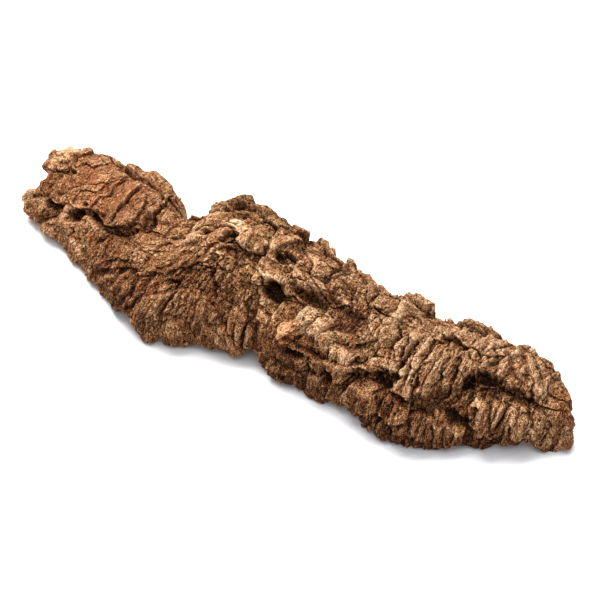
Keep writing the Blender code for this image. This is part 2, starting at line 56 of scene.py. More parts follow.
# The bark's broad form, the same as its CAD solid's. Lengths in millimetres: x runs along
# the bark and t round its outer face from the crest, minus to the front.
barkForm = {
    # x, front edge y, back edge y, crest y, crest height, front edge height, back edge height
    "sections": [
        (-172, -4, 43, 18, 23, 7, 14),
        (-160, -11, 48, 16, 25, 6, 13),
        (-140, -17, 47, 12, 26, 4, 12),
        (-118, -27, 48, 8, 29, 3, 12),
        (-100, -36, 45, 2, 31, 3, 11),
        (-84, -43, 36, -4, 32, 3, 9),
        (-72, -49, 26, -6, 34, 3, 7),
        (-60, -54, 34, -6, 39, 2, 4),
        (-45, -54, 42, 0, 46, 2, 2),
        (-25, -46, 45, 6, 48, 3, 2),
        (0, -42, 41, 0, 42, 3, 2),
        (30, -46, 34, -4, 39, 2, 2),
        (60, -46, 29, -6, 37, 2, 2),
        (90, -54, 28, -8, 36, 2, 3),
        (115, -44, 31, -4, 35, 2, 3),
        (140, -29, 25, 0, 32, 2, 3),
        (165, -14, 12, 2, 24, 2, 4),
    ],
    "squareness": 2.3,
    "thickness": 13.0,
    "edgeThickness": 9.0,
    "thinnestHollow": 0.35,
    "edgeBulge": 2.0,
    "edgeWear": 2.4,
    "highest": 7.0,
    "deepest": 9.0,
    # x of the broken ends against the share of the way round, -1 front edge to 1 back edge
    "leftEnd": [(-1, -165), (-0.8, -171), (-0.7, -169), (-0.56, -163), (-0.3, -162), (-0.12, -164),
                (0.02, -171), (0.7, -173), (1, -167)],
    "rightEnd": [(-1, 167), (-0.5, 165), (0, 161), (0.4, 151), (0.7, 141), (1, 127)],
    # bites out of the long edges: x, half length, depth; this share of the half length is fully deep
    "biteFloor": 0.3,
    "frontBites": [(-86, 6, 3), (-67, 12, 8), (-45, 4, 4), (4, 8, 8), (57, 10, 4), (122, 7, 3),
                   (150, 4, 3)],
    "backBites": [(-132, 6, 4), (-96, 6, 4), (-66, 6, 5), (-2, 7, 6), (44, 6, 5), (84, 3, 7),
                  (112, 6, 4)],
    # how ragged the long edges and the ends are: depth, wave length, octaves of noise
    "edgeRag": (1.6, 9, 3), "endRag": (1.6, 7, 3),
    # half the way round an end, for its ragged line
    "endHalfRound": 40,
    # how unevenly the broken edge bulges: share, wave length, octaves
    "bulgeRag": (0.6, 4, 2),
    # the relief sinks toward the edges over these shares of the face, down to these shares of itself
    "edgeFade": 0.10, "endFade": 0.03, "crustAtEdge": 0.6, "placedAtEdge": 0.5,
    # grain of the hollow: reach, layer of noise, wave length, octaves; the fine one runs along the bark
    "hollowRag": [(0.9, 150, 22, 2)], "hollowGrain": [(0.35, 160, 5, 2)], "hollowStretch": 0.4,
    "hollowEndFade": 0.2,
    # the smooth arch is worked out for each millimetre of these ranges, from points round each section
    "archAlong": (-180, 176), "archRound": (-110, 111), "sectionPoints": 161,
}

# What stands out of the crust and what is broken out of it, as seen in the photograph
barkFeatures = {
    # x, t, half length, half width, turn, height
    "knobs": [
        (-49, 17, 5, 6, 0, 5.0), (-46, 34, 9, 7, 0, 6.5), (-7, 30, 7, 6, 0, 3.5), (8, 34, 9, 7, 0, 4.0),
        (66, 29, 10, 5, 0, 5.0), (105, 24, 13, 7, 0, 4.5), (-19, -4, 8, 9, 0, 5.0),
        (32, -22, 10, 9, 0, 4.5), (22, -33, 8, 6, 20, 3.0), (55, -34, 6, 10, 0, 4.0),
        (70, -45, 12, 9, 0, 3.0), (26, -58, 12, 8, 0, 3.5), (-150, -12, 7, 6, 0, 2.0),
        (-163, 14, 7, 9, 0, 2.5), (-96, -8, 6, 8, 0, 2.6), (128, -31, 8, 8, 0, 2.2),
        (146, -26, 7, 8, 0, 2.4), (98, -47, 9, 7, 0, 2.0), (-30, 52, 10, 8, 0, 2.5),
        (44, 40, 11, 9, 0, 2.2), (-115, 34, 12, 10, 0, 2.0),
    ],
    # height, half width, how much paler, points x, t along the top
    "ridges": [
        (3.0, 2.3, 0.3, [(80, 2), (83, -9), (86, -22), (89, -38)]),
        (2.6, 2.2, 0.3, [(88, 0), (90, -10), (92, -22), (94, -37)]),
        (3.4, 4.0, 0.2, [(95, 4), (97, -8), (99, -24), (101, -43)]),
        (2.4, 2.1, 0.1, [(101, 4), (103, -6), (106, -17), (108, -29)]),
        (2.8, 2.6, 0.2, [(107, 2), (109, -7), (112, -17), (114, -28)]),
        (3.0, 7.0, 0.1, [(62, 2), (66, -12), (71, -30)]), (2.6, 4.5, 0.2, [(57, -24), (59, -36)]),
        (2.2, 3.4, 0.2, [(64, 18), (67, 8), (69, -4)]),
        (2.0, 2.4, 0.1, [(109, 12), (112, 2), (114, -7), (115, -15)]),
        (2.0, 2.4, 0.2, [(115, 14), (118, 3), (120, -8)]),
        (2.2, 2.6, 0.1, [(121, 10), (126, 0), (130, -11)]),
        (2.2, 2.4, 0.0, [(126, 13), (132, 3), (137, -9)]),
        (2.2, 2.6, 0.1, [(132, 12), (139, 1), (145, -9)]),
        (2.0, 2.6, 0.0, [(138, 13), (145, 4), (151, -5)]),
        (2.6, 2.6, 0.2, [(121, -22), (127, -27), (128, -35), (126, -44)]),
        (2.2, 2.4, 0.0, [(133, -22), (133, -30), (131, -39)]),
        (2.2, 2.8, 0.1, [(140, -21), (140, -31), (137, -41)]),
        (2.2, 2.6, 0.0, [(147, -21), (146, -30), (142, -39)]),
        (2.2, 2.6, 0.2, [(153, -15), (153, -24), (150, -32)]), (2.4, 7.0, -0.1, [(71, -41), (82, -43)]),
        (2.0, 3.0, 0.0, [(94, -47), (97, -56)]), (2.0, 3.0, 0.0, [(103, -44), (105, -54)]),
        (2.0, 3.0, 0.1, [(112, -38), (114, -50)]),
        (1.6, 1.6, 0.1, [(-50, -40), (-46, -49), (-52, -59)]),
        (1.6, 1.6, 0.0, [(-57, -36), (-54, -46), (-60, -55)]),
        (1.6, 1.6, 0.1, [(-65, -34), (-62, -43), (-69, -52)]),
        (1.5, 1.5, 0.0, [(-73, -33), (-70, -41), (-77, -49)]),
        (1.4, 1.5, 0.1, [(-80, -32), (-77, -39), (-84, -46)]),
        (1.4, 1.5, 0.0, [(-88, -30), (-85, -37), (-92, -44)]), (2.2, 1.7, 0.2, [(-9, -45), (-8, -60)]),
        (2.2, 1.5, 0.1, [(-4.5, -45), (-3.5, -58)]), (2.2, 1.5, 0.2, [(-0.5, -44), (1, -57)]),
        (2.4, 6.0, 0.2, [(-38, -62), (-35, -72)]), (2.2, 5.0, 0.2, [(-17, -58), (-15, -68)]),
        (1.8, 2.2, 0.0, [(-25, -46), (-27, -66)]),
        (3.2, 3.2, 0.4, [(-9, -13), (-3, -13), (2, -11), (7, -10), (13, -4)]),
        (3.2, 3.0, 0.3, [(9, -3), (17, -2), (27, -5)]),
        (1.8, 2.4, 0.3, [(-11, -5), (-8, 4), (-5, 14), (-2, 26)]),
        (3.6, 5.5, 0.1, [(-44, 34), (-34, 31), (-24, 27)]),
        (3.0, 5.0, 0.2, [(-46, 14), (-48, 2), (-50, -16)]),
        (2.4, 2.6, 0.3, [(-151, -19), (-143, -18), (-137, -14)]),
        (1.6, 2.0, 0.6, [(-163, -9), (-164, -19), (-166, -30)]), (2.0, 3.4, 0.1, [(-78, 22), (-76, 6)]),
    ],
    # x, t, half length, half width, turn, depth
    "pits": [
        (-128, -21, 5.0, 5.0, 20, 5.5), (-146, -21, 8.0, 2.4, 8, 3.4), (-151, 2, 5.5, 5.0, 0, 3.8),
        (-112, -16, 9.0, 5.0, -10, 2.6), (-85, 2, 4.5, 7.0, 0, 5.0), (-65, 16, 3.5, 4.0, 0, 5.0),
        (-32, -9, 4.5, 6.0, 0, 5.5), (-45, -6, 2.4, 3.0, 0, 3.4), (2, 3, 7.0, 6.0, 8, 6.0),
        (-35, 13, 6.0, 5.0, 0, 4.6), (-25, -18, 6.0, 4.0, 0, 3.0), (116, -18, 2.4, 6.0, 0, 4.0),
        (-148, -25, 4.0, 2.2, 0, 3.0), (-124, -13, 4.0, 2.4, 0, 2.4), (5, -20, 7.0, 5.0, -20, 6.2),
        (22, -12, 13.0, 4.0, -8, 4.2), (43, -12, 14.0, 9.0, -10, 4.4), (50, -43, 4.0, 7.0, 0, 4.0),
        (80, -30, 8.0, 6.5, 0, 6.5), (84, -16, 1.6, 12.0, 0, 3.6), (124, -13, 7.0, 5.0, 0, 5.6),
        (119, -40, 8.0, 4.0, 0, 3.6), (30, -41, 8.0, 3.0, 20, 3.6), (-60, 45, 8.0, 5.0, 0, 4.0),
        (84, 15, 8.0, 9.0, 0, 3.0), (140, -16, 10.0, 4.0, 0, 3.0),
    ],
    # depth, half width, points x, t
    "cracks": [
        (4.0, 1.6, [(80, -10), (82, -14), (83, -19), (83, -24)]),
        (2.4, 2.6, [(-131, -18), (-120, -17), (-108, -20), (-101, -19), (-92, -14), (-87, -7)]),
        (3.0, 1.8, [(-101, -18), (-103, -25), (-107, -32)]),
        (2.4, 1.6, [(-124, -30), (-127, -36)]),
        (2.8, 2.2, [(-168, -26), (-158, -22), (-153, -19)]),
        (3.0, 3.0, [(-103, -48), (-86, -35), (-66, -28)]),
        (3.0, 1.8, [(-50, -38), (-42, -43), (-41, -50), (-46, -61)]),
        (2.6, 1.8, [(-28, -28), (-24, -38), (-19, -47)]),
        (2.6, 1.8, [(4, -38), (3, -45), (6, -54)]),
        (3.0, 2.0, [(64, -38), (62, -46), (58, -56)]),
        (2.5, 1.6, [(28, 36), (28, 17), (24, -2)]),
        (2.5, 1.4, [(3, 20), (11, 10), (19, 0)]),
        (1.8, 1.0, [(-119, -33), (-120, -41)]),
        (3.6, 4.0, [(60, -34), (79, -34), (95, -39)]),
        (4.0, 8.0, [(92, -40), (107, -34), (116, -24), (128, -18), (142, -17), (156, -14)]),
        (3.0, 2.4, [(-62, 5), (-50, 14), (-36, 16), (-24, 10), (-10, 12)]),
        (3.0, 2.6, [(-140, 30), (-118, 22), (-96, 26), (-80, 20)]),
        (3.0, 2.6, [(-20, 38), (10, 30), (40, 34), (70, 40)]),
        (2.8, 2.4, [(84, 12), (104, 20), (124, 22)]),
    ],
    # x, t, half length, half width, turn, how pale
    "fresh": [
        (-165, 16, 6, 11, -10, 0.8), (-168, -16, 3, 12, 0, 0.5), (-31, 1, 8.5, 3.2, -35, 1.0),
        (3, -33, 2, 7, 12, 0.6), (23, -31, 6, 4, 20, 0.9), (30, -24, 8, 8, 0, 0.40),
        (12, 13, 3, 5, 20, 0.8), (-120, -37, 5, 3, 0, 0.5), (121, -44, 4, 2, 0, 0.7),
        (-2, -14, 4, 3, 0, 0.6), (-4, -26, 1.5, 2.5, 0, 0.7), (9, -31, 2, 2, 0, 0.7),
        (-12, -20, 2, 1.5, 0, 0.5), (-20, -31, 1.5, 2, 0, 0.5),
    ],
    # height, how far the high side slopes back, points x, t with the high side on the left
    "ledges": [
        (3.6, 16, [(-140, -13), (-131, -16), (-120, -14), (-108, -17), (-100, -15), (-92, -10), (-88, 0)]),
        (2.8, 14, [(-101, -16), (-102, -4), (-105, 9), (-106, 22)]),
        (2.4, 9, [(-90, -10), (-90, 3), (-98, 18)]),
        (1.6, 8, [(-116, -8), (-117, 6), (-120, 20)]),
        (2.0, 10, [(-155, 6), (-149, -4), (-140, -14)]),
        (4.2, 9, [(34, -3), (25, -4), (14, -6), (6, -9), (-4, -15), (-12, -14)]),
        (3.2, 12, [(36, 8), (18, 6), (2, 4), (-10, 3)]),
        (2.4, 12, [(78, 22), (72, 4), (74, -8)]),
        (2.6, 10, [(86, 26), (84, 12), (86, -2)]),
        (2.0, 14, [(-70, -60), (-66, -48), (-70, -34)]),
        (2.2, 12, [(48, 30), (46, 12), (52, -4)]),
        (3.0, 9, [(78, -27), (62, -31), (44, -36), (28, -37), (14, -34)]),
    ],
    # how ragged their outlines are and how far the lines stray: reach, layer of noise, wave length, octaves
    "spotRag": [(0.30, 0, 6, 4)], "ridgeRag": [(0.30, 12, 7, 4)], "freshRag": [(0.25, 200, 5, 3)],
    "strayAlong": [(1.5, 5, 8, 4)], "strayAcross": [(1.5, 9, 8, 4)],
    # how square the outline of a spot is, 2 for an ellipse
    "spotSquareness": 3,
    # shares of the half width between which a spot, or the side of a ridge, falls away
    "knobSide": (0.65, 1.0), "pitSide": (0.45, 1.05), "freshSide": (0.8, 1.05),
    "ridgeSteepSide": (0.6, 1.0), "ridgeGentleSide": (0.1, 1.15), "ridgeReach": (0.9, 1.5),
    "knobSlant": 1.2, "knobSlantRange": (0.3, 1.7),
    "pitDepth": 1.3, "crackFloor": 0.2,
    "ledgeFoot": 0.35, "ledgeFootReach": 3,
    # a trench runs along the foot of each ridge: share of its height, place and half width
    "ridgeSpread": 1.15, "trench": 0.25, "trenchPlace": 1.12, "trenchHalfWidth": 0.25,
}

barkCrust = {
    # along the bark, across it, and height of the large plates, the blocks and the crumbs
    "plates": (30.0, 24.0, 4.4),
    "blocks": (10.0, 18.0, 3.4),
    "crumbs": (2.2, 3.6, 1.3),
    # rolls across the bark: spacing, height, run along one roll before it swells or breaks
    "broadRolls": (10.5, 5.0, 24.0),
    "rolls": (5.3, 4.6, 20.0),
    "shelfRolls": (4.2, 3.4, 14.0),
    "fineRolls": (2.6, 2.0, 10.0),
    # broken layers that step down, and the splits between plates and blocks, which painted shade darkens
    "layerStep": 1.2, "layerSpread": 13.0, "layerRiser": 0.15, "layersPerRough": 2.2,
    "splitDepth": 1.5, "splitShade": 0.30, "splitSpread": 12, "splitOpen": (-0.3, 0.3),
    "plateGap": (0.01, 0.06), "blockGap": (0.02, 0.12), "crumbGap": (0.02, 0.25),
    # how far the pieces stray from even rows, from 0 to 1
    "pieceJitter": 0.8,
    # how ragged plates and rolls, and crumbs, are: reach, layer of noise, wave length, octaves
    "ragAlong": [(2.6, 40, 24, 3), (0.8, 44, 5, 2)], "ragAcross": [(3.0, 70, 22, 3), (1.3, 74, 5, 2)],
    "crumbRagAlong": [(0.7, 6, 2.5, 1)], "crumbRagAcross": [(0.9, 9, 3, 1)],
    # the crust lies this far into the arch, deeper and flatter toward the back edge
    "sunk": 0.6, "sunkBack": 0.8, "sunkBackFrom": (10, 25), "flatBack": 0.25, "flatBackFrom": (12, 28),
    "tiltedBy": 1.5, "rounded": 0.25, "tintOfBlocks": 0.5, "tintOfRolls": 0.5, "tintOfCrumbs": 1.5,
    # how far high spots hang over to the front and to the left, for each millimetre of height
    "overhang": 0.55, "pitOverhang": 0.3, "lean": 0.45,
    # share of the crust that placed ridges take the place of
    "underRidges": 0.45,
    "seed": 11,
}

# One roll, in shares of its spacing and height
rollShape = {
    "wander": 0.5, "wanderSpread": 4, "jitter": 0.12, "jitterSpread": 0.8,
    "height": 0.6, "swell": 0.25, "swellSteps": 2.5, "swellRiser": 0.25, "swellPerRoll": 0.37,
    "swellShift": 400,
    "gapWidth": 0.06, "gapSpread": 0.10, "gapDepth": 0.4, "gapOpen": (-0.45, 0.15), "gapRun": 1.6,
    "riser": 2.0, "fall": 0.55, "fallFrom": 0.35, "sunk": 0.35,
}

# Where each kind of crust lies
barkRegions = {
    # round patches: x, t, reach along, reach across
    "plateau": (-126, 6, 42, 26),
    "middle": (-34, -8, 36, 30),
    "knobSide": (-30, 30, 32, 16),
    "rightTop": (112, 10, 42, 16),
    "crumblyMiddle": (-24, -26, 30, 15),
    "crumblyHole": (122, -17, 14, 6),
    "plainMiddle": (-30, -15, 45, 35),
    "plainFront": (20, -45, 40, 25),
    "redPlate": (-125, 0, 45, 30),
    "redTip": (161, -8, 6, 14),
    "amberFlake": (23, -31, 6, 5),
    "amberChip": (12, 13, 4, 5),
    # bands: where each one starts and where it is full
    "fanAcross": (20, 32), "fanRight": (0, 25), "fanLeft": (-128, -105),
    "lower": (28, 38), "broad": (12, 28), "right": (76, 88), "shelf": (45, 60), "darkLower": (-10, 30),
    "redFront": (25, 40),
    # what adds up to the crumbly crust
    "crumbly": {"crumblyMiddle": 1.3, "crumblyHole": 1.2},
}

# How strong each kind of crust is anywhere, and how much more or less in the regions
crustStrengths = {
    "plates": (1.0, {"plateau": -0.35, "fan": -0.3}),
    "blocks": (0.95, {"plateau": -0.6, "fan": -0.55, "right": -0.45, "shelf": -0.3}),
    "crumbs": (0.36, {"crumbly": 1.10, "plateau": -0.20}),
    "broadRolls": (0.15, {"broad": 0.85, "plateau": -0.1}),
    "rolls": (0.10, {"right": 0.9, "broad": 0.25, "plateau": -0.1}),
    "shelfRolls": (0.12, {"shelf": 0.88, "plateau": -0.1}),
    "fineRolls": (0.22, {"fan": 0.78, "plateau": -0.05}),
    "layers": (0.9, {"plateau": -0.6}),
    "splits": (1.0, {"plateau": -0.75, "fan": -0.6}),
    "crumbTint": (0.25, {"crumbly": 0.75}),
    # painted shade in the gaps between crumbs
    "crumbGapShade": (0.10, {"crumbly": 0.30}),
    # the fan's and the lower front's darker tones are partly the bark's own darker brown and partly painted
    # shade on faces turned from the light
    "tone": (0.0, {"plateau": 0.04, "fan": -0.32, "middle": 0.26, "crumbly": -0.12, "darkLower": -0.52,
                   "knobSide": -0.20, "rightTop": 0.14}),
}

barkMesh = {
    "cutsAlong": 540,
    "cutsAcross": 228,
    "wallCuts": 4,
    # how many steps inside the edge the points lie that it bulges away from
    "bulgeSteps": 2,
    "mostTriangles": 196000,
}

latticeValues = np.random.default_rng(barkCrust["seed"]).random(4096)


# a fixed random value for each point of a whole-number lattice
def lattice(i, j, k=0):
    return latticeValues[((i * 73856093) ^ (j * 19349663) ^ (k * 83492791)) & 4095]


# smooth noise from -1 to 1; in the plane, z picks a layer of its own
def noise(x, y, z, size):
    p = np.stack(np.broadcast_arrays(x, y, z)) / size
    low = np.floor(p).astype(np.int64)
    share = p - low
    share = share * share * (3 - 2 * share)
    total = 0
    for corner in np.ndindex(2, 2, 2):
        weight = 1
        for axis in range(3):
            weight = weight * (share[axis] if corner[axis] else 1 - share[axis])
        total = total + weight * lattice(low[0] + corner[0], low[1] + corner[1], low[2] + corner[2])
    return total * 2 - 1


def rough(x, y, z, size, octaves):
    return sum(noise(x + 31 * n, y, z, size / 2 ** n) / 2 ** n for n in range(octaves))


def ragged(value, x, t, waves):
    for reach, layer, size, octaves in waves:
        value = value + reach * rough(x, t, layer, size, octaves)
    return value


def ramp(value, low, high):
    share = np.clip((value - low) / (high - low), 0, 1)
    return share * share * (3 - 2 * share)


# jittered cells: distance to the nearest centre, gap to the next one, offset from the nearest, two
# random values
def cells(x, t, length, width, layer):
    u, v = x / length, t / width
    iu, iv = np.floor(u).astype(np.int64), np.floor(v).astype(np.int64)
    near = np.full(u.shape, np.inf)
    second = near.copy()
    across, along, first, other = np.zeros((4, *u.shape))
    jitter = barkCrust["pieceJitter"]
    for du in (-1, 0, 1):
        for dv in (-1, 0, 1):
            cu, cv = iu + du, iv + dv
            ou = u - (cu + 0.5 + jitter * (lattice(cu, cv, layer) - 0.5))
            ov = v - (cv + 0.5 + jitter * (lattice(cu, cv, layer + 1) - 0.5))
            distance = np.hypot(ou, ov)
            closer = distance < near
            second = np.where(closer, near, np.minimum(second, distance))
            along = np.where(closer, ou, along)
            across = np.where(closer, ov, across)
            first = np.where(closer, lattice(cu, cv, layer + 2), first)
            other = np.where(closer, lattice(cu, cv, layer + 3), other)
            near = np.minimum(near, distance)
    return near, second - near, along, across, first, other


# distance from a rounded rectangle's centre, 1 at its outline
def spotDistance(x, t, place):
    centreX, centreT, halfLength, halfWidth, turn = place
    c, s = math.cos(math.radians(turn)), math.sin(math.radians(turn))
    dx, dt = x - centreX, t - centreT
    a, b = np.abs((c * dx + s * dt) / halfLength), np.abs((c * dt - s * dx) / halfWidth)
    power = barkFeatures["spotSquareness"]
    return (a ** power + b ** power) ** (1 / power)


# distance from a line through points, share of the way along it, and the side, plus on its left
def lineDistance(x, t, points):
    best = np.full(x.shape, np.inf)
    share, side = np.zeros(x.shape), np.zeros(x.shape)
    pairs = list(zip(points, points[1:]))
    for n, ((x0, t0), (x1, t1)) in enumerate(pairs):
        length = math.hypot(x1 - x0, t1 - t0)
        ux, ut = (x1 - x0) / length, (t1 - t0) / length
        run = np.clip((x - x0) * ux + (t - t0) * ut, 0, length)
        distance = np.hypot(x - x0 - run * ux, t - t0 - run * ut)
        closer = distance < best
        best = np.where(closer, distance, best)
        share = np.where(closer, (n + run / length) / len(pairs), share)
        side = np.where(closer, np.sign(ux * (t - t0) - ut * (x - x0)), side)
    return best, share, side


def endTaper(share):
    return 1 - (2 * share - 1) ** 4


def blob(x, t, centreX, centreT, reachX, reachT):
    return np.exp(-((x - centreX) / reachX) ** 2 - ((t - centreT) / reachT) ** 2)


def regionSum(x, t, shares):
    return sum(share * blob(x, t, *barkRegions[name]) for name, share in shares.items())


# height of the placed features, how much of the crust's own pattern they take the place of, paleness
def placedRelief(x, t):
    f = barkFeatures
    height, drawn, pale = np.zeros((3, *x.shape))
    wobble = ragged(0, x, t, f["spotRag"])
    for n, (*place, rise) in enumerate(f["knobs"]):
        centreX, centreT, halfLength, halfWidth = place[:4]
        slant = ((lattice(n, 3, 70) - 0.5) * (x - centreX) / halfLength
                 + (lattice(n, 3, 71) - 0.5) * (t - centreT) / halfWidth)
        slant = np.clip(1 + f["knobSlant"] * slant, *f["knobSlantRange"])
        height += rise * slant * (1 - ramp(spotDistance(x, t, place) + wobble, *f["knobSide"]))
    for *place, depth in f["pits"]:
        height -= f["pitDepth"] * depth * (1 - ramp(spotDistance(x, t, place) + wobble, *f["pitSide"]))
    strayX, strayT = ragged(x, x, t, f["strayAlong"]), ragged(t, x, t, f["strayAcross"])
    for depth, halfWidth, points in f["cracks"]:
        distance, share = lineDistance(strayX, strayT, points)[:2]
        height -= depth * endTaper(share) * (1 - ramp(distance, f["crackFloor"] * halfWidth, halfWidth))
    for rise, slope, points in f["ledges"]:
        distance, share, side = lineDistance(strayX, strayT, points)
        foot = -f["ledgeFoot"] * np.exp(-distance / f["ledgeFootReach"])
        height += rise * endTaper(share) * np.where(side > 0, np.exp(-distance / slope), foot)
    wobble = ragged(0, x, t, f["ridgeRag"])
    for rise, halfWidth, paler, points in f["ridges"]:
        distance, share, side = lineDistance(strayX, strayT, points)
        distance = distance / (f["ridgeSpread"] * halfWidth) + wobble
        taper = endTaper(share)
        top = taper * np.where(side < 0, 1 - ramp(distance, *f["ridgeSteepSide"]),
                               1 - ramp(distance, *f["ridgeGentleSide"]))
        trench = 1 - ramp(np.abs(distance - f["trenchPlace"]), 0.0, f["trenchHalfWidth"])
        height += rise * (top - f["trench"] * taper * trench)
        drawn = np.maximum(drawn, taper * (1 - ramp(distance, *f["ridgeReach"])))
        pale = pale + paler * top
    return height, drawn, pale


# steps of height 1 that rise over the last share of their length
def terraces(value, riser):
    step = np.floor(value)
    return step + ramp(value - step, 1 - riser, 1)


# rolls across the bark, with a steep left side and deep gaps between them, and their random tint
def laminae(x, t, size, layer):
    spacing, height, run = size
    r = rollShape
    place = (x / spacing + r["wander"] * noise(x, t, layer, r["wanderSpread"] * spacing)
             + r["jitter"] * noise(x, t, layer + 3, r["jitterSpread"] * spacing))
    number = np.floor(place).astype(np.int64)
    share = place - number
    own = lattice(number, 7, layer)
    swell = noise(t + r["swellShift"] * own, number * r["swellPerRoll"], layer, run)
    swell = r["height"] + r["swell"] * terraces(r["swellSteps"] * swell, r["swellRiser"])
    gapWidth = r["gapWidth"] + r["gapSpread"] * lattice(number, 9, layer)
    gap = 1 - ramp(np.minimum(share, 1 - share), 0, gapWidth)
    dome = ramp(share, 0, r["riser"] * gapWidth) * (1 - r["fall"] * ramp(share, r["fallFrom"], 1.0))
    parted = ramp(noise(x, t, layer + 8, r["gapRun"] * run), *r["gapOpen"])
    return height * (dome * swell - r["gapDepth"] * gap * parted - r["sunk"]), own


# broken pieces of crust, each at its own height and tilt, with steep sides
def brokenPieces(x, t, size, layer):
    length, width, height = size
    near, gap, along, across, first, other = cells(x, t, length, width, layer)
    turn = lattice(np.rint(first * 999).astype(int), 5, layer)
    tilt = barkCrust["tiltedBy"] * (other - 0.5) * along + barkCrust["tiltedBy"] * (turn - 0.5) * across
    return height * (first - 0.5 + tilt - barkCrust["rounded"] * near * near), gap, first


# share of each region at each point, from 0 to 1
def crustRegions(x, t):
    r = barkRegions
    masks = {name: blob(x, t, *r[name]) for name in ("plateau", "middle", "knobSide", "rightTop")}
    masks["fan"] = ramp(-t, *r["fanAcross"]) * ramp(-x, *r["fanRight"]) * ramp(x, *r["fanLeft"])
    masks["crumbly"] = np.clip(regionSum(x, t, r["crumbly"]), 0, 1)
    lower, right = ramp(-t, *r["lower"]), ramp(x, *r["right"])
    masks["broad"] = ramp(x, *r["broad"]) * (1 - right) * (1 - lower)
    masks["right"] = right * (1 - lower)
    masks["shelf"] = ramp(x, *r["shelf"]) * lower
    # the lower front, darkened with painted shade and its own darker brown
    masks["darkLower"] = lower * ramp(x, *r["darkLower"])
    return masks


def strengthOf(name, masks):
    strength, changes = crustStrengths[name]
    for region, change in changes.items():
        strength = strength + change * masks[region]
    return strength


# the crust's own relief, its share that leans, the tints of plates and of smaller pieces, and tone, which
# carries painted shade in the splits, the crumb gaps and on the lower front
def crustRelief(x, t):
    c = barkCrust
    masks = crustRegions(x, t)
    ragX, ragT = ragged(x, x, t, c["ragAlong"]), ragged(t, x, t, c["ragAcross"])
    plates, plateGap, plateTint = brokenPieces(ragX, ragT, c["plates"], 10)
    blocks, blockGap, blockTint = brokenPieces(ragX, ragT, c["blocks"], 30)
    crumbX, crumbT = ragged(x, x, t, c["crumbRagAlong"]), ragged(t, x, t, c["crumbRagAcross"])
    crumbs, crumbGap, crumbTint = brokenPieces(crumbX, crumbT, c["crumbs"], 50)
    height = strengthOf("plates", masks) * plates
    height += strengthOf("blocks", masks) * blocks
    height += strengthOf("crumbs", masks) * crumbs

    rolls = 0
    tints = (c["tintOfBlocks"] * blockTint
             + c["tintOfCrumbs"] * (crumbTint - 0.5) * strengthOf("crumbTint", masks))
    for name, layer in (("broadRolls", 3), ("rolls", 23), ("shelfRolls", 43), ("fineRolls", 63)):
        strength = strengthOf(name, masks)
        ridge, own = laminae(ragX + 3 * layer, t, c[name], layer)
        rolls = rolls + strength * ridge
        tints = tints + c["tintOfRolls"] * strength * own
    layers = c["layersPerRough"] * rough(x, t, 55, c["layerSpread"], 4)
    layers = c["layerStep"] * terraces(layers, c["layerRiser"]) * strengthOf("layers", masks)
    parted = ramp(noise(x, t, 17, c["splitSpread"]), *c["splitOpen"]) * strengthOf("splits", masks)
    splits = parted * np.maximum(1 - ramp(plateGap, *c["plateGap"]), 1 - ramp(blockGap, *c["blockGap"]))
    rolls = rolls - c["splitDepth"] * splits
    # painted shade darkens the splits and the gaps between crumbs
    tone = strengthOf("tone", masks) - c["splitShade"] * splits
    tone = tone - strengthOf("crumbGapShade", masks) * (1 - ramp(crumbGap, *c["crumbGap"]))
    flatter = 1 - c["flatBack"] * ramp(t, *c["flatBackFrom"])
    lift = -c["sunk"] - c["sunkBack"] * ramp(t, *c["sunkBackFrom"])
    return (height + rolls + layers) * flatter + lift, rolls, plateTint, tints, tone


# one column of the sections' table, led smoothly through the sections
def sectionColumn(x, column):
    table = np.array(barkForm["sections"], float)
    xs, values = table[:, 0], table[:, column]
    slopes = np.gradient(values, xs)
    i = np.clip(np.searchsorted(xs, x) - 1, 0, len(xs) - 2)
    span = xs[i + 1] - xs[i]
    s = np.clip((x - xs[i]) / span, 0, 1)
    return ((2 * s ** 3 - 3 * s ** 2 + 1) * values[i] + (s ** 3 - 2 * s ** 2 + s) * span * slopes[i]
            + (3 * s ** 2 - 2 * s ** 3) * values[i + 1] + (s ** 3 - s ** 2) * span * slopes[i + 1])


# a smooth arched face looked up by x and t: the outer one, or one inset from its edges and crest
def makeArch(inset=0.0, drop=0.0):
    xs, ts = (np.arange(*barkForm[name], dtype=float) for name in ("archAlong", "archRound"))
    place = np.zeros((len(xs), len(ts), 3))
    reaches = np.zeros((2, len(xs)))
    angle = np.linspace(-math.pi / 2, math.pi / 2, barkForm["sectionPoints"])
    power = 2 / barkForm["squareness"]
    thinnest = barkForm["thinnestHollow"]
    for n, x in enumerate(xs):
        frontY, backY, crestY, crestZ, frontZ, backZ = (
            float(sectionColumn(np.array([x]), column)[0]) for column in range(1, 7))
        s, c = np.sin(angle), np.cos(angle)
        reach = np.where(s < 0, crestY - frontY, backY - crestY)
        edgeZ = np.where(s < 0, frontZ, backZ)
        reach = np.maximum(reach - inset, thinnest * reach)
        rise = np.maximum(crestZ - edgeZ - drop, thinnest * (crestZ - edgeZ))
        y = crestY + reach * np.sign(s) * np.abs(s) ** power
        z = edgeZ + rise * np.abs(c) ** power
        t = np.concatenate([[0], np.cumsum(np.hypot(np.diff(y), np.diff(z)))])
        t -= t[len(t) // 2]
        reaches[:, n] = t[0], t[-1]
        below = np.maximum(t[0] - ts, 0) + np.maximum(ts - t[-1], 0)
        place[n, :, 0] = x
        place[n, :, 1] = np.interp(ts, t, y)
        place[n, :, 2] = np.interp(ts, t, z) - below
    normal = np.cross(np.gradient(place, axis=0), np.gradient(place, axis=1))
    normal /= np.linalg.norm(normal, axis=-1, keepdims=True)
    return {"xs": xs, "ts": ts, "place": place, "normal": normal, "reaches": reaches}


